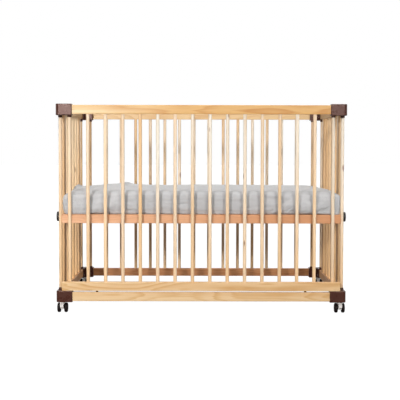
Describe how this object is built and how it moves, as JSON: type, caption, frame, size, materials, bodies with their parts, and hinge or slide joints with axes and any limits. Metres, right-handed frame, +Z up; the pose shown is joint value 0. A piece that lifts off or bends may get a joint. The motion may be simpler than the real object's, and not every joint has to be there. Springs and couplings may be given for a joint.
{
  "type": "baby crib",
  "caption": "Wooden baby crib with rod sides, dark plastic corners, lift-off front fence, height-adjustable slatted base, mattress and swivel casters.",
  "frame": {"origin": "on the floor, at the centre of the outline seen from above", "axes": "+X along the length to the right seen from the front, +Y from the front fence to the rear, +Z up"},
  "size_m": [1.287, 0.785, 0.904],
  "materials": {
    "pine": "clear satin lacquer, long grain",
    "base_wood": "clear satin lacquer, warmer tone",
    "corner_plastic": "moulded dark brown, satin",
    "knob_plastic": "moulded near-black",
    "caster_black": "moulded black nylon",
    "caster_grey": "moulded light grey",
    "steel": "zinc plated",
    "brass": "turned",
    "mattress_fabric": "heathered grey knit"
  },
  "bodies": {
    "frame": {"block_screws": "steel", "cap_screws": "steel", "corner_block_front_left": "corner_plastic", "corner_block_front_right": "corner_plastic", "corner_block_rear_left": "corner_plastic", "corner_block_rear_right": "corner_plastic", "corner_cap_front_left": "corner_plastic", "corner_cap_front_right": "corner_plastic", "corner_cap_rear_left": "corner_plastic", "corner_cap_rear_right": "corner_plastic", "front_stretcher": "pine", "left_balusters": "pine", "left_bottom_rail": "pine", "left_slotted_stiles": "pine", "left_top_rail": "pine", "locating_pins": "corner_plastic", "rear_balusters": "pine", "rear_stretcher": "pine", "rear_top_rail": "pine", "right_balusters": "pine", "right_bottom_rail": "pine", "right_slotted_stiles": "pine", "right_top_rail": "pine", "uprights_front_left": "pine", "uprights_front_right": "pine", "uprights_rear_left": "pine", "uprights_rear_right": "pine"},
    "front_fence": {"fence_lower_rail": "pine", "fence_top_rail": "pine", "fence_balusters": "pine"},
    "latch_left": {"latch_bolt_left": "steel"},
    "latch_right": {"latch_bolt_right": "steel"},
    "bed_base": {"base_front_rail": "base_wood", "base_rear_rail": "base_wood", "base_left_rail": "base_wood", "base_right_rail": "base_wood", "base_ledgers": "base_wood", "base_centre_rail": "base_wood", "base_slats": "base_wood", "base_inserts": "brass"},
    "mattress_pad": {"mattress": "mattress_fabric"},
    "knob_front_left": {"height_knob_front_left": "knob_plastic"},
    "knob_front_right": {"height_knob_front_right": "knob_plastic"},
    "knob_rear_left": {"height_knob_rear_left": "knob_plastic"},
    "knob_rear_right": {"height_knob_rear_right": "knob_plastic"},
    "swivel_front_left": {"caster_housing_front_left": "caster_grey", "caster_pins_front_left": "steel"},
    "wheels_front_left": {"caster_wheels_front_left": "caster_black"},
    "swivel_front_right": {"caster_housing_front_right": "caster_grey", "caster_pins_front_right": "steel"},
    "wheels_front_right": {"caster_wheels_front_right": "caster_black"},
    "swivel_rear_left": {"caster_housing_rear_left": "caster_grey", "caster_pins_rear_left": "steel"},
    "wheels_rear_left": {"caster_wheels_rear_left": "caster_black"},
    "swivel_rear_right": {"caster_housing_rear_right": "caster_grey", "caster_pins_rear_right": "steel"},
    "wheels_rear_right": {"caster_wheels_rear_right": "caster_black"},
    "pedal_front_left": {"brake_pedal_front_left": "caster_grey"},
    "pedal_front_right": {"brake_pedal_front_right": "caster_grey"}
  },
  "joints": [
    {"name": "front_fence_lift", "type": "slide", "parent": "frame", "child": "front_fence", "axis": [0, 0, 1], "range_m": [0, 0.3]},
    {"name": "latch_left_slide", "type": "slide", "parent": "front_fence", "child": "latch_left", "axis": [-1, 0, 0], "range_m": [0, 0.014]},
    {"name": "latch_right_slide", "type": "slide", "parent": "front_fence", "child": "latch_right", "axis": [1, 0, 0], "range_m": [0, 0.014]},
    {"name": "base_height", "type": "slide", "parent": "frame", "child": "bed_base", "axis": [0, 0, 1], "range_m": [-0.24, 0.05]},
    {"name": "mattress_lift", "type": "slide", "parent": "bed_base", "child": "mattress_pad", "axis": [0, 0, 1], "range_m": [0, 0.5]},
    {"name": "knob_turn_front_left", "type": "hinge", "parent": "bed_base", "child": "knob_front_left", "pos_m": [-0.621, -0.23825, 0.409], "axis": [-1, 0, 0], "continuous": true},
    {"name": "knob_turn_front_right", "type": "hinge", "parent": "bed_base", "child": "knob_front_right", "pos_m": [0.621, -0.23825, 0.409], "axis": [1, 0, 0], "continuous": true},
    {"name": "knob_turn_rear_left", "type": "hinge", "parent": "bed_base", "child": "knob_rear_left", "pos_m": [-0.621, 0.23825, 0.409], "axis": [-1, 0, 0], "continuous": true},
    {"name": "knob_turn_rear_right", "type": "hinge", "parent": "bed_base", "child": "knob_rear_right", "pos_m": [0.621, 0.23825, 0.409], "axis": [1, 0, 0], "continuous": true},
    {"name": "caster_swivel_front_left", "type": "hinge", "parent": "frame", "child": "swivel_front_left", "pos_m": [-0.602, -0.372, 0.06], "axis": [0, 0, 1], "continuous": true},
    {"name": "wheel_roll_front_left", "type": "hinge", "parent": "swivel_front_left", "child": "wheels_front_left", "pos_m": [-0.602, -0.355, 0.021], "axis": [1, 0, 0], "continuous": true},
    {"name": "caster_swivel_front_right", "type": "hinge", "parent": "frame", "child": "swivel_front_right", "pos_m": [0.602, -0.372, 0.06], "axis": [0, 0, 1], "continuous": true},
    {"name": "wheel_roll_front_right", "type": "hinge", "parent": "swivel_front_right", "child": "wheels_front_right", "pos_m": [0.602, -0.355, 0.021], "axis": [1, 0, 0], "continuous": true},
    {"name": "caster_swivel_rear_left", "type": "hinge", "parent": "frame", "child": "swivel_rear_left", "pos_m": [-0.602, 0.372, 0.06], "axis": [0, 0, 1], "continuous": true},
    {"name": "wheel_roll_rear_left", "type": "hinge", "parent": "swivel_rear_left", "child": "wheels_rear_left", "pos_m": [-0.602, 0.355, 0.021], "axis": [1, 0, 0], "continuous": true},
    {"name": "caster_swivel_rear_right", "type": "hinge", "parent": "frame", "child": "swivel_rear_right", "pos_m": [0.602, 0.372, 0.06], "axis": [0, 0, 1], "continuous": true},
    {"name": "wheel_roll_rear_right", "type": "hinge", "parent": "swivel_rear_right", "child": "wheels_rear_right", "pos_m": [0.602, 0.355, 0.021], "axis": [1, 0, 0], "continuous": true},
    {"name": "brake_press_front_left", "type": "hinge", "parent": "swivel_front_left", "child": "pedal_front_left", "pos_m": [-0.602, -0.382, 0.037], "axis": [1, 0, 0], "range_deg": [0, 14]},
    {"name": "brake_press_front_right", "type": "hinge", "parent": "swivel_front_right", "child": "pedal_front_right", "pos_m": [0.602, -0.382, 0.037], "axis": [1, 0, 0], "range_deg": [0, 14]}
  ]
}
